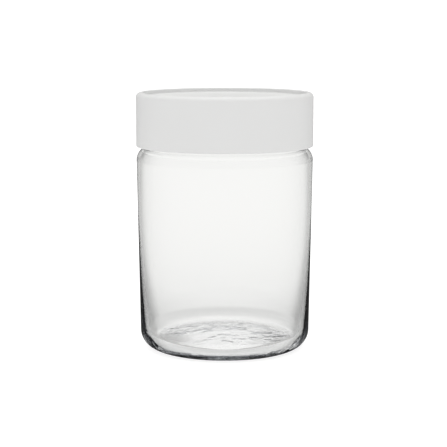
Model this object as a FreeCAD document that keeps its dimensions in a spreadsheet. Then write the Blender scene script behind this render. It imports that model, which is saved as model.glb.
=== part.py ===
import FreeCAD, Part
import math
import os
from collections import namedtuple

import Sketcher

# Lidded glass canister: a blown glass jar with a wide mouth, closed by a push-on plastic lid.
# The lid is three pieces that lift off together: the outer cap, a plug liner that snaps into the cap,
# and a soft seal ring in the groove of the plug.
# Millimetres, +Z up along the axis of the jar, origin at the centre of the bearing ring on the table.

SIZES = {
    # Glass jar, outside
    "jar_diameter": 100.0,
    "foot_diameter": 96.0,
    "jar_height": 139.8,
    "neck_height": 24.65,
    "shoulder_step": 4.7,
    "shoulder_rise": 3.25,
    "shoulder_radius": 7.5,
    "neck_root_radius": 3.0,
    "heel_radius": 10.6,
    "bearing_width": 2.4,
    "punt_depth": 1.8,
    "punt_edge_radius": 8.0,
    # Glass jar, inside
    "upper_wall": 1.5,
    "shoulder_drop": 0.78,
    "foot_wall": 4.4,
    "base_thickness": 4.4,
    "floor_rise": 1.8,
    "inner_corner_radius": 7.5,
    "rim_radius": 0.5,
    # Lid cap
    "lid_overhang": 0.1,
    "skirt_gap": 0.45,
    "skirt_wall": 2.0,
    "skirt_edge_radius": 0.5,
    "cap_plate": 2.0,
    "cap_edge_radius": 2.6,
    "recess_depth": 2.6,
    "recess_rim": 4.0,
    "recess_edge_radius": 0.8,
    "gate_diameter": 7.0,
    "gate_depth": 0.4,
    "lug_count": 8,
    "lug_angle": 14.0,
    "lug_reach": 1.6,
    "lug_height": 2.4,
    "lug_land": 0.6,
    "lug_clearance": 0.1,
    # Lid liner
    "flange_thickness": 1.6,
    "flange_clearance": 0.3,
    "liner_wall": 1.6,
    "liner_floor": 1.6,
    "plug_land": 2.8,
    "plug_chamfer": 0.6,
    "rib_thickness": 1.4,
    "rib_clearance": 0.7,
    "groove_depth": 2.1,
    "groove_clearance": 0.1,
    # Seal ring
    "seal_height": 4.4,
    "seal_band": 1.1,
    "seal_clearance": 0.25,
    "lip_thickness": 0.7,
    "lip_rise": 0.5,
    # How far a cutting outline runs past the face that it opens
    "cut_margin": 1.0,
    # Least flat left between two roundings of one wall
    "least_flat": 0.2,
}

doc = FreeCAD.newDocument("canister")
sheet = doc.addObject("Spreadsheet::Sheet", "sizes")
for row, (alias, size) in enumerate(SIZES.items(), start=1):
    sheet.set(f"A{row}", alias)
    sheet.set(f"B{row}", str(size))
    sheet.setAlias(f"B{row}", alias)
doc.recompute()

# Places worked out from the sizes, as expressions that the sketches are bound to
SHOULDER_R = "(sizes.jar_diameter / 2)"
FOOT_R = "(sizes.foot_diameter / 2)"
NECK_R = f"({SHOULDER_R} - sizes.shoulder_step)"
MOUTH_R = f"({NECK_R} - sizes.upper_wall)"
INNER_SHOULDER_R = f"({SHOULDER_R} - sizes.upper_wall)"
INNER_FOOT_R = f"({FOOT_R} - sizes.foot_wall)"
PUNT_R = f"({FOOT_R} - sizes.heel_radius - sizes.bearing_width)"
RIM_Z = "sizes.jar_height"
LEDGE_Z = f"({RIM_Z} - sizes.neck_height)"
SHOULDER_Z = f"({LEDGE_Z} - sizes.shoulder_rise)"
INNER_LEDGE_Z = f"({LEDGE_Z} - sizes.shoulder_drop)"
INNER_SHOULDER_Z = f"({SHOULDER_Z} - sizes.shoulder_drop)"
FLOOR_Z = "sizes.base_thickness"

FLANGE_TOP_Z = f"({RIM_Z} + sizes.flange_thickness)"
RECESS_Z = f"({FLANGE_TOP_Z} + sizes.cap_plate)"
LID_TOP_Z = f"({RECESS_Z} + sizes.recess_depth)"
SKIRT_Z = f"({LEDGE_Z} + sizes.skirt_gap)"
LID_R = f"({SHOULDER_R} + sizes.lid_overhang)"
SKIRT_R = f"({LID_R} - sizes.skirt_wall)"
RECESS_R = f"({LID_R} - sizes.recess_rim)"
LUG_R = f"({SKIRT_R} - sizes.lug_reach)"
LUG_Z = f"({RIM_Z} - sizes.lug_clearance)"

FLANGE_R = f"({SKIRT_R} - sizes.flange_clearance)"
RIB_R = f"({MOUTH_R} - sizes.rib_clearance)"
GROOVE_R = f"({RIB_R} - sizes.groove_depth)"
LINER_R = f"({GROOVE_R} - sizes.liner_wall)"
UPPER_RIB_Z = f"({RIM_Z} - sizes.plug_land)"
GROOVE_TOP_Z = f"({UPPER_RIB_Z} - sizes.rib_thickness)"
SEAL_TOP_Z = f"({GROOVE_TOP_Z} - sizes.groove_clearance)"
SEAL_Z = f"({SEAL_TOP_Z} - sizes.seal_height)"
GROOVE_Z = f"({SEAL_Z} - sizes.groove_clearance)"
PLUG_Z = f"({GROOVE_Z} - sizes.rib_thickness)"

SEAL_R = f"({GROOVE_R} + sizes.groove_clearance)"
BAND_R = f"({SEAL_R} + sizes.seal_band)"
LIP_R = f"({MOUTH_R} - sizes.seal_clearance)"

# How a sketch numbers its own axes and its origin, and the points of a line or an arc
X_AXIS_INDEX = -1
Z_AXIS_INDEX = -2
ROOT_INDEX = -1
START_INDEX = 1
END_INDEX = 2
CENTRE_INDEX = 3
# Two places closer than this are one
SAME = 1e-4

# A side of a section, with the numbers of the points where it starts and ends
Side = namedtuple("Side", "index start end")


def number(expression):
    """The present value of an expression."""
    return float(sheet.evalExpression(expression))


def origin_feature(body, role):
    """A plane or axis of the body's own origin."""
    return next(item for item in body.Origin.OriginFeatures if item.Role == role)


def pin(sketch, geometry, point, name, axis, expression):
    """Hold one coordinate of a point at an expression, or on the axis where it is zero."""
    if expression == "0":
        on_axis = Z_AXIS_INDEX if axis == "X" else X_AXIS_INDEX
        sketch.addConstraint(Sketcher.Constraint("PointOnObject", geometry, point, on_axis))
        return
    place = number(expression)
    held = Sketcher.Constraint(f"Distance{axis}", ROOT_INDEX, START_INDEX, geometry, point, place)
    bind(sketch, held, name, expression)


def bind(sketch, constraint, name, expression):
    """Add a constraint whose size is an expression."""
    index = sketch.addConstraint(constraint)
    sketch.renameConstraint(index, name)
    sketch.setExpression(f"Constraints.{name}", expression)


def side_between(start, end, centre=None):
    """A straight side, or the short arc whose centre lies on the axis or at the height given."""
    if centre is None:
        return Part.LineSegment(start, end)
    middle = (start + end) / 2
    chord = end - start
    if centre == "axis":
        hub = FreeCAD.Vector(0, middle.y + middle.x * chord.x / chord.y, 0)
    else:
        height = number(centre)
        hub = FreeCAD.Vector(middle.x + (middle.y - height) * chord.y / chord.x, height, 0)
    radius = (start - hub).Length
    crown = hub + (middle - hub).normalize() * radius
    return Part.Arc(start, crown, end)


def heading(side, corner):
    """The direction in which a side leaves the corner at one of its ends."""
    near, far = sorted((side.StartPoint, side.EndPoint), key=corner.distanceToPoint)
    ahead = side.tangent(side.parameter(near))[0]
    return ahead if ahead.dot(far - near) > 0 else ahead * -1


def bend_between(before, after, corner, radius):
    """The start, crown and end of the arc that rounds the corner where two sides meet.

    It is exact between straight sides, and close enough to settle from beside a long arc.
    """
    back = heading(before, corner)
    ahead = heading(after, corner)
    inward = (back + ahead).normalize()
    half_angle = back.getAngle(inward)
    reach = radius / math.tan(half_angle)
    hub = corner + inward * (radius / math.sin(half_angle))
    return corner + back * reach, hub - inward * radius, corner + ahead * reach


def add_side(sketch, side, start):
    """Add a side that starts at this place. A sketch may turn an arc round."""
    index = sketch.addGeometry(side)
    if sketch.getPoint(index, START_INDEX).isEqual(start, SAME):
        return Side(index, START_INDEX, END_INDEX)
    return Side(index, END_INDEX, START_INDEX)


def join_sharp(sketch, before, after):
    """Join two sides at a sharp corner. Returns the point that holds the corner."""
    joined = Sketcher.Constraint("Coincident", before.index, before.end, after.index, after.start)
    sketch.addConstraint(joined)
    return after.index, after.start


def join_round(sketch, before, after, corner, bend, name, radius):
    """Join two sides by a tangent arc. Returns the point that holds the corner that it cuts off."""
    arc = add_side(sketch, Part.Arc(*bend), bend[0])
    for side, following in ((before, arc), (arc, after)):
        tangent = Sketcher.Constraint("Tangent", side.index, side.end, following.index, following.start)
        sketch.addConstraint(tangent)
    bind(sketch, Sketcher.Constraint("Radius", arc.index, number(radius)), name, radius)
    point = sketch.addGeometry(Part.Point(corner), True)
    for side in (before, after):
        sketch.addConstraint(Sketcher.Constraint("PointOnObject", point, START_INDEX, side.index))
    return point, START_INDEX


def section(body, name, corners, arcs=None, rounds=None):
    """A closed half section in the XZ plane. Corners are pairs of expressions, radius then height.

    The side that leaves a corner listed in arcs is an arc, with its centre as side_between says.
    A corner listed in rounds is rounded to the radius given there.
    """
    arcs = arcs or {}
    rounds = rounds or {}
    sketch = body.newObject("Sketcher::SketchObject", name)
    sketch.AttachmentSupport = [(origin_feature(body, "XZ_Plane"), "")]
    sketch.MapMode = "FlatFace"
    points = [FreeCAD.Vector(number(radius), number(height), 0) for radius, height in corners]
    starts = list(points)
    ends = points[1:] + points[:1]
    centres = [arcs.get(index) for index in range(len(points))]
    whole = [side_between(*places) for places in zip(starts, ends, centres)]
    bends = {}
    for index, radius in rounds.items():
        bends[index] = bend_between(whole[index - 1], whole[index], points[index], number(radius))
        ends[index - 1] = bends[index][0]
        starts[index] = bends[index][-1]
    sides = [add_side(sketch, side_between(*places), places[0]) for places in zip(starts, ends, centres)]
    for index, (radius, height) in enumerate(corners):
        before, after = sides[index - 1], sides[index]
        if index in rounds:
            label = f"round_{index}"
            held = join_round(sketch, before, after, points[index], bends[index], label, rounds[index])
        else:
            held = join_sharp(sketch, before, after)
        pin(sketch, *held, f"radius_{index}", "X", radius)
        pin(sketch, *held, f"height_{index}", "Y", height)
    for index, centre in arcs.items():
        if centre == "axis":
            on_axis = Sketcher.Constraint("PointOnObject", sides[index].index, CENTRE_INDEX, Z_AXIS_INDEX)
            sketch.addConstraint(on_axis)
        else:
            pin(sketch, sides[index].index, CENTRE_INDEX, f"centre_{index}", "Y", centre)
    doc.recompute()
    if not sketch.FullyConstrained:
        raise RuntimeError(f"{name} is not fully constrained")
    return sketch


def turn(body, name, sketch, kind="Revolution", angle=None):
    """Turn a section about the axis, to add to the body or, as a Groove, to cut it."""
    before = body.Tip.Shape.Volume if body.Tip else 0
    feature = body.newObject(f"PartDesign::{kind}", name)
    feature.Profile = sketch
    feature.ReferenceAxis = (sketch, ["V_Axis"])
    feature.Angle = 360
    if angle:
        feature.Midplane = True
        feature.setExpression("Angle", angle)
    doc.recompute()
    grown = feature.Shape.Volume > before
    if grown == (kind == "Groove"):
        raise RuntimeError(f"{name} did not change the solid as it should")
    return feature


def ring_edge(shape, radius, height):
    """The name of the circular edge about the axis with this radius and height."""
    for index, edge in enumerate(shape.Edges, start=1):
        if edge.Degenerated or not isinstance(edge.Curve, Part.Circle):
            continue
        if abs(edge.Curve.Center.z - height) < SAME and abs(edge.Curve.Radius - radius) < SAME:
            return f"Edge{index}"
    raise RuntimeError(f"no edge of radius {radius} at height {height}")


def round_off(body, name, rings, radius):
    """Round the circular edges at these pairs of radius and height."""
    base = body.Tip
    edges = [ring_edge(base.Shape, number(ring), number(height)) for ring, height in rings]
    fillet = body.newObject("PartDesign::Fillet", name)
    fillet.Base = (base, edges)
    fillet.setExpression("Radius", radius)
    doc.recompute()


def limited(radius, room):
    """A rounding that stays within the room its wall gives it."""
    return f"min({radius}; {room} - sizes.least_flat)"


def new_body(name):
    body = doc.addObject("PartDesign::Body", name)
    body.Label = name
    return body


def make_jar():
    """Glass jar: tapered sides, sloped shoulder, straight neck, round heel, slightly hollow underside."""
    body = new_body("glass_jar")
    # Two roundings share the slope, and each takes its radius times this much of it
    slope = "hypot(sizes.shoulder_step; sizes.shoulder_rise)"
    slope_share = f"(({slope} - sizes.shoulder_rise) / sizes.shoulder_step)"
    shoulder_radius = limited("sizes.shoulder_radius", f"{slope} / {slope_share} - sizes.neck_root_radius")
    outside = section(body, "outside", [
        ("0", "sizes.punt_depth"),
        (PUNT_R, "0"),
        (FOOT_R, "0"),
        (SHOULDER_R, SHOULDER_Z),
        (NECK_R, LEDGE_Z),
        (NECK_R, RIM_Z),
        ("0", RIM_Z),
    ], arcs={0: "axis"}, rounds={
        1: "sizes.punt_edge_radius",
        2: "sizes.heel_radius",
        3: shoulder_radius,
        4: "sizes.neck_root_radius",
    })
    turn(body, "blank", outside)
    # The wall thickens towards the foot along one arc, and the floor is a shallow dome.
    # Shoulder and neck are the outside moved in and down, so they keep one thickness and the same roundings.
    open_z = f"({RIM_Z} + sizes.cut_margin)"
    inside = section(body, "inside", [
        ("0", f"({FLOOR_Z} + sizes.floor_rise)"),
        (INNER_FOOT_R, FLOOR_Z),
        (INNER_SHOULDER_R, INNER_SHOULDER_Z),
        (MOUTH_R, INNER_LEDGE_Z),
        (MOUTH_R, open_z),
        ("0", open_z),
    ], arcs={0: "axis", 1: INNER_SHOULDER_Z}, rounds={
        1: "sizes.inner_corner_radius",
        2: shoulder_radius,
        3: "sizes.neck_root_radius",
    })
    turn(body, "cavity", inside, "Groove")
    rim_room = "sizes.upper_wall / 2"
    round_off(body, "rim", [(NECK_R, RIM_Z), (MOUTH_R, RIM_Z)], limited("sizes.rim_radius", rim_room))
    return body


def make_cap():
    """Lid cap: a deep skirt flush with the jar, a recessed top and a ring of lugs that hold the liner."""
    body = new_body("lid_cap")
    shell = section(body, "shell", [
        ("0", FLANGE_TOP_Z),
        (SKIRT_R, FLANGE_TOP_Z),
        (SKIRT_R, SKIRT_Z),
        (LID_R, SKIRT_Z),
        (LID_R, LID_TOP_Z),
        (RECESS_R, LID_TOP_Z),
        (RECESS_R, RECESS_Z),
        ("0", RECESS_Z),
    ])
    turn(body, "cap_shell", shell)
    # Dimple over the moulding gate, at the middle of the recess
    gate_r = "(sizes.gate_diameter / 2)"
    gate_z = f"({RECESS_Z} - sizes.gate_depth)"
    above_gate = f"({RECESS_Z} + sizes.cut_margin)"
    gate = section(body, "gate", [("0", gate_z), (gate_r, gate_z), (gate_r, above_gate), ("0", above_gate)])
    turn(body, "gate_dimple", gate, "Groove")

    edge_room = "sizes.recess_rim - sizes.recess_edge_radius"
    round_off(body, "top_edge", [(LID_R, LID_TOP_Z)], limited("sizes.cap_edge_radius", edge_room))
    recess_radius = limited("sizes.recess_edge_radius", "sizes.recess_depth / 2")
    round_off(body, "recess_edges", [(RECESS_R, LID_TOP_Z), (RECESS_R, RECESS_Z)], recess_radius)
    skirt_radius = limited("sizes.skirt_edge_radius", "sizes.skirt_wall / 2")
    round_off(body, "skirt_edges", [(LID_R, SKIRT_Z), (SKIRT_R, SKIRT_Z)], skirt_radius)

    # One lug with a sloped lead-in below, rooted in the skirt
    root_r = f"({SKIRT_R} + sizes.skirt_wall / 2)"
    lug_section = section(body, "lug_section", [
        (root_r, LUG_Z),
        (LUG_R, LUG_Z),
        (LUG_R, f"({LUG_Z} - sizes.lug_land)"),
        (SKIRT_R, f"({LUG_Z} - sizes.lug_height)"),
        (root_r, f"({LUG_Z} - sizes.lug_height)"),
    ])
    lug = turn(body, "lug", lug_section, angle="sizes.lug_angle")
    lugs = body.newObject("PartDesign::PolarPattern", "lugs")
    lugs.Originals = [lug]
    lugs.Axis = (origin_feature(body, "Z_Axis"), [""])
    lugs.Angle = 360
    lugs.setExpression("Occurrences", "sizes.lug_count")
    body.Tip = lugs
    doc.recompute()
    return body


def make_liner():
    """Lid liner: a flange that rests on the rim and a plug with a groove between two ribs."""
    body = new_body("lid_liner")
    cup_z = f"({PLUG_Z} + sizes.liner_floor)"
    wall_section = section(body, "wall_section", [
        ("0", PLUG_Z),
        (f"({RIB_R} - sizes.plug_chamfer)", PLUG_Z),
        (RIB_R, f"({PLUG_Z} + sizes.plug_chamfer)"),
        (RIB_R, GROOVE_Z),
        (GROOVE_R, GROOVE_Z),
        (GROOVE_R, GROOVE_TOP_Z),
        (RIB_R, GROOVE_TOP_Z),
        (RIB_R, UPPER_RIB_Z),
        (GROOVE_R, UPPER_RIB_Z),
        (GROOVE_R, RIM_Z),
        (FLANGE_R, RIM_Z),
        (FLANGE_R, FLANGE_TOP_Z),
        (LINER_R, FLANGE_TOP_Z),
        (LINER_R, cup_z),
        ("0", cup_z),
    ])
    turn(body, "plug", wall_section)
    return body


def make_seal():
    """Seal ring: a soft band in the groove with two upturned lips that wipe the mouth."""
    body = new_body("seal_ring")
    outer_side = []
    # The lips leave the band a quarter of its height from either end
    for quarters in (1, 3):
        lip_z = f"({SEAL_Z} + sizes.seal_height * {quarters} / 4)"
        half = "sizes.lip_thickness / 2"
        outer_side += [
            (BAND_R, f"({lip_z} - {half})"),
            (LIP_R, f"({lip_z} - {half} + sizes.lip_rise)"),
            (LIP_R, f"({lip_z} + {half} + sizes.lip_rise / 2)"),
            (BAND_R, f"({lip_z} + {half})"),
        ]
    band = section(body, "band", [
        (SEAL_R, SEAL_Z),
        (BAND_R, SEAL_Z),
        *outer_side,
        (BAND_R, SEAL_TOP_Z),
        (SEAL_R, SEAL_TOP_Z),
    ])
    turn(body, "ring", band)
    return body


pieces = [make_jar(), make_cap(), make_liner(), make_seal()]
doc.recompute()

for item in doc.Objects:
    if {"Invalid", "Error"} & set(item.State):
        raise RuntimeError(f"{item.Name} failed: {item.State}")
for piece in pieces:
    if piece.Shape.isNull() or not piece.Shape.isValid() or len(piece.Shape.Solids) != 1:
        raise RuntimeError(f"{piece.Label} is not one valid solid")

os.makedirs("parts", exist_ok=True)
for piece in pieces:
    piece.Shape.exportStep(f"parts/{piece.Label}.step")
    box = piece.Shape.optimalBoundingBox(False)
    print(f"{piece.Label}: {box.XLength:.2f} x {box.YLength:.2f} x {box.ZLength:.2f} mm, "
          f"from z {box.ZMin:.2f}, {piece.Shape.Volume / 1000:.2f} cm3")
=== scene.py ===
import math

import bpy
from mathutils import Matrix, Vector


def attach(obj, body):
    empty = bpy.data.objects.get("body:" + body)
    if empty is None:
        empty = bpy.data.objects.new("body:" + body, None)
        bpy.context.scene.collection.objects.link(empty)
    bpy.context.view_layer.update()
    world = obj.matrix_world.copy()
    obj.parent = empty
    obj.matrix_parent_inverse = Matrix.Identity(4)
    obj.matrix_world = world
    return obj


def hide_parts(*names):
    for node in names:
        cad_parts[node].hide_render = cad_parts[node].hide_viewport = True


# Looks of the lidded glass canister, in metres, +Z up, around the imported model.
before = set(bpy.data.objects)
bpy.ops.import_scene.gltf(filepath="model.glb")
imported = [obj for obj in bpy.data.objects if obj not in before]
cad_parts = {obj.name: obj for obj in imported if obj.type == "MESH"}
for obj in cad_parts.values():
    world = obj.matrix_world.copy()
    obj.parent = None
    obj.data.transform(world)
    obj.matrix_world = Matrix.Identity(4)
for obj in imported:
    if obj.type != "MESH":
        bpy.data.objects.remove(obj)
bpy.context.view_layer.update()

# Sizes of the glass jar, outside
SHOULDER_R = 0.0500
SIDE_TAPER = 0.0020
JAR_HEIGHT = 0.1398
NECK_HEIGHT = 0.02465
SHOULDER_STEP = 0.0047
SHOULDER_RISE = 0.00325
SHOULDER_RADIUS = 0.0075
NECK_ROOT_RADIUS = 0.0030
HEEL_RADIUS = 0.0106
BEARING_WIDTH = 0.0024
PUNT_DEPTH = 0.0018
PUNT_EDGE_RADIUS = 0.0080

# Sizes of the glass jar, inside
UPPER_WALL = 0.0015
SHOULDER_DROP = 0.00078
FOOT_WALL = 0.0044
BASE_THICKNESS = 0.0044
FLOOR_RISE = 0.0018
INNER_CORNER_RADIUS = 0.0075
RIM_RADIUS = 0.0005
# How late the wall thickens on its way down
WALL_POWER = 2.5
# Room that a rounding takes along the curves beside it
CORNER_ROOM = 0.0093
SHOULDER_ROOM = 0.0060

# Sizes of the lid cap
LID_OVERHANG = 0.0001
SKIRT_GAP = 0.00045
SKIRT_WALL = 0.0020
SKIRT_RADIUS = 0.0005
CAP_PLATE = 0.0020
TOP_RADIUS = 0.0026
RECESS_DEPTH = 0.0026
RECESS_RIM = 0.0040
RECESS_RADIUS = 0.0008
# Dimple in the middle of the sunk top
GATE_R = 0.0035
GATE_DEPTH = 0.0004
GATE_RADIUS = 0.0002
# Lugs inside the skirt, which hold the flange of the liner
LUG_COUNT = 8
LUG_ANGLE = math.radians(14)
LUG_REACH = 0.0016
LUG_HEIGHT = 0.0024
LUG_LAND = 0.0006
LUG_CLEARANCE = 0.0001
LUG_RADIUS = 0.00015

# Sizes of the lid liner
FLANGE_THICKNESS = 0.0016
FLANGE_CLEARANCE = 0.0003
LINER_WALL = 0.0016
LINER_FLOOR = 0.0016
PLUG_LAND = 0.0028
PLUG_CHAMFER = 0.0006
RIB_THICKNESS = 0.0014
RIB_CLEARANCE = 0.0007
GROOVE_DEPTH = 0.0021
GROOVE_CLEARANCE = 0.0001

# Sizes of the seal ring
SEAL_HEIGHT = 0.0044
SEAL_BAND = 0.0011
SEAL_CLEARANCE = 0.00025
LIP_THICKNESS = 0.0007
LIP_RISE = 0.0005
LIP_RADIUS = 0.0001
# Rounding of the edges of the liner and the seal
SOFT_EDGE = 0.0003

# Places of the glass jar
FOOT_R = SHOULDER_R - SIDE_TAPER
NECK_R = SHOULDER_R - SHOULDER_STEP
MOUTH_R = NECK_R - UPPER_WALL
INNER_SHOULDER_R = SHOULDER_R - UPPER_WALL
INNER_FOOT_R = FOOT_R - FOOT_WALL
PUNT_R = FOOT_R - HEEL_RADIUS - BEARING_WIDTH
RIM_Z = JAR_HEIGHT
LEDGE_Z = RIM_Z - NECK_HEIGHT
SHOULDER_Z = LEDGE_Z - SHOULDER_RISE
INNER_LEDGE_Z = LEDGE_Z - SHOULDER_DROP
INNER_SHOULDER_Z = SHOULDER_Z - SHOULDER_DROP
FLOOR_Z = BASE_THICKNESS

# Places of the lid
LID_R = SHOULDER_R + LID_OVERHANG
SKIRT_R = LID_R - SKIRT_WALL
RECESS_R = LID_R - RECESS_RIM
LUG_R = SKIRT_R - LUG_REACH
LUG_ROOT_R = SKIRT_R + SKIRT_WALL / 2
FLANGE_R = SKIRT_R - FLANGE_CLEARANCE
RIB_R = MOUTH_R - RIB_CLEARANCE
GROOVE_R = RIB_R - GROOVE_DEPTH
LINER_R = GROOVE_R - LINER_WALL
SEAL_R = GROOVE_R + GROOVE_CLEARANCE
BAND_R = SEAL_R + SEAL_BAND
LIP_R = MOUTH_R - SEAL_CLEARANCE
SKIRT_Z = LEDGE_Z + SKIRT_GAP
PLATE_Z = RIM_Z + FLANGE_THICKNESS
RECESS_Z = PLATE_Z + CAP_PLATE
LID_TOP_Z = RECESS_Z + RECESS_DEPTH
GATE_Z = RECESS_Z - GATE_DEPTH
LUG_TOP_Z = RIM_Z - LUG_CLEARANCE
LUG_LOW_Z = LUG_TOP_Z - LUG_HEIGHT
UPPER_RIB_Z = RIM_Z - PLUG_LAND
GROOVE_TOP_Z = UPPER_RIB_Z - RIB_THICKNESS
SEAL_TOP_Z = GROOVE_TOP_Z - GROOVE_CLEARANCE
SEAL_Z = SEAL_TOP_Z - SEAL_HEIGHT
GROOVE_Z = SEAL_Z - GROOVE_CLEARANCE
PLUG_Z = GROOVE_Z - RIB_THICKNESS
CUP_Z = PLUG_Z + LINER_FLOOR

# How finely a turned piece is divided
ARC_STEPS = 12
CURVE_STEPS = 20
TURN_STEPS = 192
LUG_STEPS = 8
LONGEST_STEP = 0.003
MERGE_WITHIN = 1e-6
# An edge that turns more than this stays sharp
SHARP_ANGLE = math.radians(40)

# Glass: how much it absorbs per metre, and the waves in patches of its floor
GLASS_IOR = 1.52
GLASS_TINT = (0, 0.02, 0.06, 1)
GLASS_ABSORPTION = 14
WAVE_STRENGTH = 1.2
WAVE_HEIGHT = 0.001
WAVE_SCALE = 100
WAVE_DETAIL = 2
WAVE_R = 0.036
CALM_R = 0.042
PATCH_SCALE = 45
PATCH_DETAIL = 1
PATCH_NOISE = (0.42, 0.62)
PATCH_SHARE = (0.15, 1)

# Plastic and rubber: colours, sheen, mottling and grain
CAP_WHITE = (0.78, 0.78, 0.78)
LINER_WHITE = (0.80, 0.80, 0.785)
SILICONE_WHITE = (0.74, 0.75, 0.74)
MOTTLE_SCALE = 35
MOTTLE_DETAIL = 3
MOTTLE_TONE = 0.985
SHEEN_SPREAD = 0.05
GRAIN_SCALE = 1800
GRAIN_DETAIL = 2
GRAIN_HEIGHT = 0.0001
SOFT_RADIUS = (1, 1, 0.9)
SOFT_DEPTH = 0.001

# Studio table, which runs into the white behind the canister
TABLE_R = 60
TABLE_SIDES = 64
TABLE_WHITE = 0.35
TABLE_GLOW = 0.85
BACKDROP = 1.1
# What the outside of the glass and the sheen of the plastic reflect
REFLECTED = 0.05

# Surroundings that show through the glass: pairs of degrees above the horizon and tone, in rising order.
# They are white below and behind, and dark above at the sides, which draws the edges of the glass.
# From the last pair they run up to BRIGHTEST, straight overhead.
BRIGHTEST = 2.5
DARK = 0.01
BELOW = [
    (-90, 0.95),
    (-60, 1.0),
    (-45, 1.12),
    (-35, 1.05),
    (-24, 1.0),
    (-18.5, 0.84),
    (-14.5, 1.0),
    (-11, 1.01),
    (-4, 1.03),
]
ABOVE = [(58, DARK), (72, 0.6)]
BEHIND = BELOW
NEAR_BEHIND = [*BELOW, (10, 1.0), (15, DARK), *ABOVE]
AT_SIDES = [*BELOW, (7, 1.0), (13, DARK), *ABOVE]
# The same for light that was reflected inside the glass
BOUNCED_NEAR_BEHIND = [*BELOW, (8, 1.0), (10.5, DARK), (22, DARK), (34, 1.0)]
BOUNCED_AT_SIDES = [*BELOW, (-1, 1.0), (3, DARK), *ABOVE]
# Angles to either side of straight behind over which one of them gives way to the next
BEHIND_ENDS = (math.radians(4), math.radians(10))
NEAR_BEHIND_ENDS = (math.radians(38), math.radians(48))
# Straight through the glass they dim between bright stretches: half the way round from one stretch to
# the next, the angles from its middle over which it dims, and its tones
STRETCH_HALF = math.radians(22.5)
STRETCH_ENDS = (math.radians(6.5), math.radians(14))
STRETCH_TONES = (1, 0.5)
# Light that was reflected inside the glass has one even tone all round
BOUNCED_TONE = 0.86
# Whites are a little warm and darks a little cool
WARMTH = 0.978
COOL_GREEN = 0.0004
COOL_BLUE = 0.0024
# Light that falls on the plastic, in the same pairs
SKY = [(0, 0.3), (30, 0.5), (60, 1.75)]

# Camera of the photograph
CAMERA_PLACE = (-0.00069, -0.86887, 0.19494)
CAMERA_DOWN = math.radians(8.114)
CAMERA_SENSOR = 36
CAMERA_LENS = 123.81
CAMERA_CLIP = (0.01, 200)
# Light crosses many faces before it leaves the foot of the jar
ALL_BOUNCES = 48
GLASS_BOUNCES = 32


def rounded(corners):
    """Points along an outline of (radius, height, rounding) corners, with an arc at each rounded corner."""
    points = []
    for index, (radius, height, rounding) in enumerate(corners):
        here = Vector((radius, height))
        if not rounding:
            points.append(here)
            continue
        before = (Vector(corners[index - 1][:2]) - here).normalized()
        after = (Vector(corners[(index + 1) % len(corners)][:2]) - here).normalized()
        half_angle = before.angle(after) / 2
        tangent = rounding / math.tan(half_angle)
        hub = here + (before + after).normalized() * (rounding / math.sin(half_angle))
        start = here + before * tangent - hub
        end = here + after * tangent - hub
        sweep = start.angle(end)
        for step in range(ARC_STEPS + 1):
            part = step / ARC_STEPS
            blend = start * math.sin((1 - part) * sweep) + end * math.sin(part * sweep)
            points.append(hub + blend / math.sin(sweep))
    return points


def spaced(points, closed):
    """The same outline with no step longer than LONGEST_STEP."""
    ring = points + points[:1] if closed else points
    result = [ring[0]]
    for start, end in zip(ring, ring[1:]):
        count = max(1, math.ceil((end - start).length / LONGEST_STEP))
        result += [start.lerp(end, step / count) for step in range(1, count + 1)]
    return result


def drawn(name, corners, closed):
    """One vertex drawn along a half section in the XZ plane, left in edit mode with all of it selected."""
    bpy.ops.object.select_all(action="DESELECT")
    bpy.ops.mesh.primitive_plane_add(size=LONGEST_STEP)
    piece = bpy.context.object
    piece.name = name
    piece.data.name = name
    bpy.ops.object.mode_set(mode="EDIT")
    bpy.ops.mesh.merge(type="CENTER")
    place = Vector((0, 0))
    for index, point in enumerate(spaced(rounded(corners), closed)):
        step = point - place
        move = {"value": (step.x, 0, step.y)}
        if index == 0:
            bpy.ops.transform.translate(**move)
        else:
            bpy.ops.mesh.extrude_region_move(TRANSFORM_OT_translate=move)
        place = point
    bpy.ops.mesh.select_all(action="SELECT")
    return piece


def closed_up():
    """Close the seams of the piece in edit mode, turn its faces outward and leave edit mode."""
    bpy.ops.mesh.select_all(action="SELECT")
    bpy.ops.mesh.remove_doubles(threshold=MERGE_WITHIN)
    bpy.ops.mesh.normals_make_consistent(inside=False)
    bpy.ops.object.mode_set(mode="OBJECT")


def turned(name, corners, closed=False):
    """A solid turned about the Z axis from its half section."""
    piece = drawn(name, corners, closed)
    bpy.ops.mesh.spin(steps=TURN_STEPS, angle=math.tau, center=(0, 0, 0), axis=(0, 0, 1))
    closed_up()
    return piece


def finished(piece, node, body, material):
    """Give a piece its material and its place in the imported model."""
    piece.data.materials.append(material)
    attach(piece, body)
    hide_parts(node)


def fill(tree, node, inputs):
    """Set inputs of a node to constants, or join them to outputs of other nodes."""
    for name, value in inputs.items():
        if isinstance(value, bpy.types.NodeSocket):
            tree.links.new(value, node.inputs[name])
        else:
            node.inputs[name].default_value = value


def added(tree, kind, inputs, output, **settings):
    """The named output of a new node."""
    node = tree.nodes.new(kind)
    for name, value in settings.items():
        setattr(node, name, value)
    fill(tree, node, inputs)
    return node.outputs[output]


def worked(tree, operation, first, second):
    """One step of arithmetic on two values."""
    return added(tree, "ShaderNodeMath", {0: first, 1: second}, "Value", operation=operation)


def eased(tree, value, ends, results):
    """A value that changes softly between two results, as another value goes between two ends."""
    inputs = {
        "Value": value,
        "From Min": ends[0],
        "From Max": ends[1],
        "To Min": results[0],
        "To Max": results[1],
    }
    return added(tree, "ShaderNodeMapRange", inputs, "Result", interpolation_type="SMOOTHSTEP")


def mixed(tree, share, first, second):
    """A colour between two others."""
    inputs = {"Factor": share, "A": first, "B": second}
    return added(tree, "ShaderNodeMix", inputs, "Result", data_type="RGBA")


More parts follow.
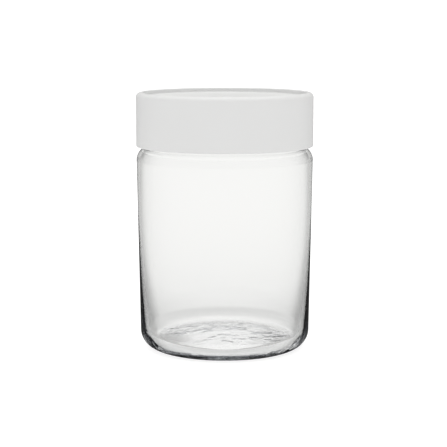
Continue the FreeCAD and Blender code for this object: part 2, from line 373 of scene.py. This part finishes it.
def noise(tree, place, scale, detail):
    """A soft random pattern through a piece."""
    inputs = {"Vector": place, "Scale": scale, "Detail": detail}
    return added(tree, "ShaderNodeTexNoise", inputs, "Fac")


def new_material(name):
    """A new material, with its node tree and its shader."""
    material = bpy.data.materials.new(name)
    material.use_nodes = True
    return material, material.node_tree, material.node_tree.nodes["Principled BSDF"]


def clear_glass():
    """Clear, slightly absorbing glass, with slow waves in patches of the floor."""
    material, tree, shader = new_material("clear_glass")
    place = added(tree, "ShaderNodeTexCoord", {}, "Object")
    # The waves fade out by their distance from the axis, before they reach the wall
    level = added(tree, "ShaderNodeVectorMath", {0: place, 1: (1, 1, 0)}, "Vector", operation="MULTIPLY")
    reach = added(tree, "ShaderNodeVectorMath", {0: level}, "Value", operation="LENGTH")
    floor = eased(tree, reach, (WAVE_R, CALM_R), (WAVE_STRENGTH, 0))
    patches = eased(tree, noise(tree, place, PATCH_SCALE, PATCH_DETAIL), PATCH_NOISE, PATCH_SHARE)
    waves = added(tree, "ShaderNodeBump", {
        "Distance": WAVE_HEIGHT,
        "Strength": worked(tree, "MULTIPLY", floor, patches),
        "Height": noise(tree, place, WAVE_SCALE, WAVE_DETAIL),
    }, "Normal")
    fill(tree, shader, {
        "Base Color": (1, 1, 1, 1),
        "Transmission Weight": 1,
        "IOR": GLASS_IOR,
        "Roughness": 0,
        "Normal": waves,
    })
    inner = {"Color": GLASS_TINT, "Density": GLASS_ABSORPTION}
    depth = added(tree, "ShaderNodeVolumeAbsorption", inner, "Volume")
    fill(tree, tree.nodes["Material Output"], {"Volume": depth})
    return material


def moulded(name, colour, roughness, grain, soft=0):
    """Moulded plastic or rubber: faint mottling of its colour and sheen, and a fine grain on its skin."""
    material, tree, shader = new_material(name)
    place = added(tree, "ShaderNodeTexCoord", {}, "Object")
    mottle = noise(tree, place, MOTTLE_SCALE, MOTTLE_DETAIL)
    darker = [part * MOTTLE_TONE for part in colour]
    sheen = {"Value": mottle, "To Min": roughness - SHEEN_SPREAD, "To Max": roughness + SHEEN_SPREAD}
    skin = {
        "Distance": GRAIN_HEIGHT,
        "Strength": grain,
        "Height": noise(tree, place, GRAIN_SCALE, GRAIN_DETAIL),
    }
    fill(tree, shader, {
        "Base Color": mixed(tree, mottle, (*darker, 1), (*colour, 1)),
        "Roughness": added(tree, "ShaderNodeMapRange", sheen, "Result"),
        "Normal": added(tree, "ShaderNodeBump", skin, "Normal"),
        "Subsurface Weight": soft,
        "Subsurface Radius": SOFT_RADIUS,
        "Subsurface Scale": SOFT_DEPTH,
    })
    return material


def make_jar():
    """Glass jar, drawn from the middle of its underside round to the middle of its floor."""
    parts = [step / CURVE_STEPS for step in range(CURVE_STEPS + 1)]
    punt = [(PUNT_R * part, PUNT_DEPTH * (1 - part ** 2), 0) for part in parts[:-1]]
    wall = []
    high = INNER_SHOULDER_Z - SHOULDER_ROOM
    low = FLOOR_Z + CORNER_ROOM
    for part in parts:
        height = high + (low - high) * part
        fall = ((INNER_SHOULDER_Z - height) / (INNER_SHOULDER_Z - FLOOR_Z)) ** WALL_POWER
        wall.append((INNER_SHOULDER_R - (INNER_SHOULDER_R - INNER_FOOT_R) * fall, height, 0))
    floor = []
    for part in parts:
        radius = (INNER_FOOT_R - CORNER_ROOM) * (1 - part)
        floor.append((radius, FLOOR_Z + FLOOR_RISE * (1 - (radius / INNER_FOOT_R) ** 2), 0))
    jar = turned("jar_glass", [
        *punt,
        (PUNT_R, 0, PUNT_EDGE_RADIUS),
        (FOOT_R, 0, HEEL_RADIUS),
        (SHOULDER_R, SHOULDER_Z, SHOULDER_RADIUS),
        (NECK_R, LEDGE_Z, NECK_ROOT_RADIUS),
        (NECK_R, RIM_Z, RIM_RADIUS),
        (MOUTH_R, RIM_Z, RIM_RADIUS),
        (MOUTH_R, INNER_LEDGE_Z, NECK_ROOT_RADIUS),
        (INNER_SHOULDER_R, INNER_SHOULDER_Z, SHOULDER_RADIUS),
        *wall,
        (INNER_FOOT_R, FLOOR_Z, INNER_CORNER_RADIUS),
        *floor,
    ])
    bpy.ops.object.shade_smooth()
    finished(jar, "glass_jar", "jar", clear_glass())


def make_lugs():
    """The ring of lugs inside the skirt: one with a sloped lead-in below, and turned copies of it."""
    lugs = [drawn("lug", [
        (LUG_ROOT_R, LUG_LOW_Z, 0),
        (LUG_ROOT_R, LUG_TOP_Z, 0),
        (LUG_R, LUG_TOP_Z, LUG_RADIUS),
        (LUG_R, LUG_TOP_Z - LUG_LAND, LUG_RADIUS),
        (SKIRT_R, LUG_LOW_Z, 0),
    ], closed=True)]
    bpy.ops.mesh.remove_doubles(threshold=MERGE_WITHIN)
    bpy.ops.mesh.select_all(action="SELECT")
    bpy.ops.mesh.edge_face_add()
    bpy.ops.transform.rotate(value=LUG_ANGLE / 2, orient_axis="Z", center_override=(0, 0, 0))
    bpy.ops.mesh.spin(steps=LUG_STEPS, angle=LUG_ANGLE, center=(0, 0, 0), axis=(0, 0, 1))
    closed_up()
    while len(lugs) < LUG_COUNT:
        bpy.ops.object.duplicate()
        bpy.ops.object.mode_set(mode="EDIT")
        bpy.ops.mesh.select_all(action="SELECT")
        bpy.ops.transform.rotate(value=math.tau / LUG_COUNT, orient_axis="Z", center_override=(0, 0, 0))
        bpy.ops.object.mode_set(mode="OBJECT")
        lugs.append(bpy.context.object)
    return lugs


def make_cap():
    """Lid cap: skirt, sunk top with its dimple, and the lugs joined to the skirt."""
    cap = turned("lid_shell", [
        (0, PLATE_Z, 0),
        (SKIRT_R, PLATE_Z, SKIRT_RADIUS),
        (SKIRT_R, SKIRT_Z, SKIRT_RADIUS),
        (LID_R, SKIRT_Z, SKIRT_RADIUS),
        (LID_R, LID_TOP_Z, TOP_RADIUS),
        (RECESS_R, LID_TOP_Z, RECESS_RADIUS),
        (RECESS_R, RECESS_Z, RECESS_RADIUS),
        (GATE_R, RECESS_Z, GATE_RADIUS),
        (GATE_R - GATE_DEPTH, GATE_Z, GATE_RADIUS),
        (0, GATE_Z, 0),
    ])
    bpy.ops.object.shade_smooth_by_angle(angle=SHARP_ANGLE)
    lugs = make_lugs()
    bpy.ops.object.select_all(action="DESELECT")
    for piece in [*lugs, cap]:
        piece.select_set(True)
    bpy.context.view_layer.objects.active = cap
    bpy.ops.object.join()
    plastic = moulded("white_plastic", CAP_WHITE, roughness=0.5, grain=0.15)
    finished(cap, "lid_cap", "lid", plastic)


def make_liner():
    """Lid liner: a flange over the rim of the glass and a plug with a groove between two ribs."""
    liner = turned("plug_liner", [
        (0, PLUG_Z, 0),
        (RIB_R - PLUG_CHAMFER, PLUG_Z, SOFT_EDGE),
        (RIB_R, PLUG_Z + PLUG_CHAMFER, SOFT_EDGE),
        (RIB_R, GROOVE_Z, SOFT_EDGE),
        (GROOVE_R, GROOVE_Z, SOFT_EDGE),
        (GROOVE_R, GROOVE_TOP_Z, SOFT_EDGE),
        (RIB_R, GROOVE_TOP_Z, SOFT_EDGE),
        (RIB_R, UPPER_RIB_Z, SOFT_EDGE),
        (GROOVE_R, UPPER_RIB_Z, SOFT_EDGE),
        (GROOVE_R, RIM_Z, SOFT_EDGE),
        (FLANGE_R, RIM_Z, SOFT_EDGE),
        (FLANGE_R, PLATE_Z, SOFT_EDGE),
        (LINER_R, PLATE_Z, SOFT_EDGE),
        (LINER_R, CUP_Z, SOFT_EDGE),
        (0, CUP_Z, 0),
    ])
    bpy.ops.object.shade_smooth_by_angle(angle=SHARP_ANGLE)
    plastic = moulded("liner_plastic", LINER_WHITE, roughness=0.4, grain=0.05, soft=0.3)
    finished(liner, "lid_liner", "lid", plastic)


def make_seal():
    """Seal ring: a soft band with two upturned lips."""
    half_lip = LIP_THICKNESS / 2
    outer_side = []
    # The lips leave the band a quarter of its height from either end
    for quarters in (1, 3):
        lip_z = SEAL_Z + SEAL_HEIGHT * quarters / 4
        outer_side += [
            (BAND_R, lip_z - half_lip, SOFT_EDGE),
            (LIP_R, lip_z - half_lip + LIP_RISE, LIP_RADIUS),
            (LIP_R, lip_z + half_lip + LIP_RISE / 2, LIP_RADIUS),
            (BAND_R, lip_z + half_lip, SOFT_EDGE),
        ]
    seal = turned("soft_seal", [
        (SEAL_R, SEAL_Z, SOFT_EDGE),
        (BAND_R, SEAL_Z, SOFT_EDGE),
        *outer_side,
        (BAND_R, SEAL_TOP_Z, SOFT_EDGE),
        (SEAL_R, SEAL_TOP_Z, SOFT_EDGE),
    ], closed=True)
    bpy.ops.object.shade_smooth_by_angle(angle=SHARP_ANGLE)
    silicone = moulded("silicone", SILICONE_WHITE, roughness=0.45, grain=0.05, soft=0.5)
    finished(seal, "seal_ring", "lid", silicone)


def make_stage():
    """White table under the canister, bright enough to run into the white behind it."""
    bpy.ops.object.select_all(action="DESELECT")
    bpy.ops.mesh.primitive_circle_add(radius=TABLE_R, vertices=TABLE_SIDES, fill_type="NGON")
    table = bpy.context.object
    table.name = "studio_table"
    material, tree, shader = new_material("studio_table")
    fill(tree, shader, {
        "Base Color": (TABLE_WHITE, TABLE_WHITE, TABLE_WHITE, 1),
        "Roughness": 1,
        "Specular IOR Level": 0,
        "Emission Color": (1, 1, 1, 1),
        "Emission Strength": TABLE_GLOW,
    })
    table.data.materials.append(material)
    # The glass sees the studio alone, so its edges stay crisp from every side
    table.visible_transmission = False
    table.visible_glossy = False


def height_share(angle):
    """Where an angle above the horizon, in degrees, lies between straight down and straight up."""
    return (math.sin(math.radians(angle)) + 1) / 2


def shaded(tree, height, tones):
    """Brightness by height, as a share of BRIGHTEST."""
    ramp = tree.nodes.new("ShaderNodeValToRGB")
    # A new ramp has a stop at either end. The lower one is moved, and the upper one stays white.
    stops = ramp.color_ramp.elements
    stops[0].position = height_share(tones[0][0])
    for angle, _ in tones[1:]:
        stops.new(height_share(angle))
    for stop, (_, tone) in zip(stops, tones):
        shade = tone / BRIGHTEST
        stop.color = (shade, shade + COOL_GREEN, shade * WARMTH + COOL_BLUE, 1)
    fill(tree, ramp, {"Fac": height})
    return ramp.outputs["Color"]


def background(tree, colour, strength):
    """Light from all round."""
    return added(tree, "ShaderNodeBackground", {"Color": colour, "Strength": strength}, "Background")


def switched(tree, ray, shown, otherwise):
    """One shading for a kind of ray, and another for the rest."""
    return added(tree, "ShaderNodeMixShader", {"Fac": ray, 1: otherwise, 2: shown}, "Shader")


def make_world():
    """Soft light from above for the plain pieces, and the studio around the jar as the glass shows it."""
    world = bpy.data.worlds.new("studio")
    bpy.context.scene.world = world
    world.use_nodes = True
    tree = world.node_tree
    white = (1, 1, 1, 1)
    split = tree.nodes.new("ShaderNodeSeparateXYZ")
    fill(tree, split, {"Vector": added(tree, "ShaderNodeTexCoord", {}, "Generated")})
    path = tree.nodes.new("ShaderNodeLightPath")
    height = added(tree, "ShaderNodeMapRange", {"Value": split.outputs["Z"], "From Min": -1}, "Result")

    turn = worked(tree, "ARCTAN2", split.outputs["X"], split.outputs["Y"])
    aside = worked(tree, "ABSOLUTE", turn, 0)
    past_behind = eased(tree, aside, BEHIND_ENDS, (0, 1))
    past_near = eased(tree, aside, NEAR_BEHIND_ENDS, (0, 1))
    bounced = worked(tree, "GREATER_THAN", path.outputs["Glossy Depth"], 0)

    behind = shaded(tree, height, BEHIND)
    views = []
    for near_tones, side_tones in ((NEAR_BEHIND, AT_SIDES), (BOUNCED_NEAR_BEHIND, BOUNCED_AT_SIDES)):
        near = shaded(tree, height, near_tones)
        side = shaded(tree, height, side_tones)
        views.append(mixed(tree, past_behind, behind, mixed(tree, past_near, near, side)))
    surroundings = mixed(tree, bounced, *views)

    from_stretch = worked(tree, "PINGPONG", turn, STRETCH_HALF)
    straight_tone = eased(tree, from_stretch, STRETCH_ENDS, STRETCH_TONES)
    tones = {"Factor": bounced, "A": straight_tone, "B": BOUNCED_TONE}
    tone = added(tree, "ShaderNodeMix", tones, "Result")
    through = background(tree, surroundings, worked(tree, "MULTIPLY", tone, BRIGHTEST))

    shading = background(tree, shaded(tree, height, SKY), BRIGHTEST)
    reflected = background(tree, white, REFLECTED)
    backdrop = background(tree, white, BACKDROP)
    shading = switched(tree, path.outputs["Is Glossy Ray"], reflected, shading)
    shading = switched(tree, path.outputs["Is Transmission Ray"], through, shading)
    shading = switched(tree, path.outputs["Is Camera Ray"], backdrop, shading)
    fill(tree, tree.nodes["World Output"], {"Surface": shading})


def make_camera():
    """The camera of the photograph, and how the render handles light and tones."""
    bpy.ops.object.camera_add(location=CAMERA_PLACE, rotation=(math.radians(90) - CAMERA_DOWN, 0, 0))
    camera = bpy.context.object
    camera.data.sensor_width = CAMERA_SENSOR
    camera.data.lens = CAMERA_LENS
    camera.data.clip_start, camera.data.clip_end = CAMERA_CLIP
    scene = bpy.context.scene
    scene.camera = camera
    scene.view_settings.view_transform = "Standard"
    scene.cycles.max_bounces = ALL_BOUNCES
    scene.cycles.glossy_bounces = GLASS_BOUNCES
    scene.cycles.transmission_bounces = GLASS_BOUNCES


make_jar()
make_cap()
make_liner()
make_seal()
make_stage()
make_world()
make_camera()
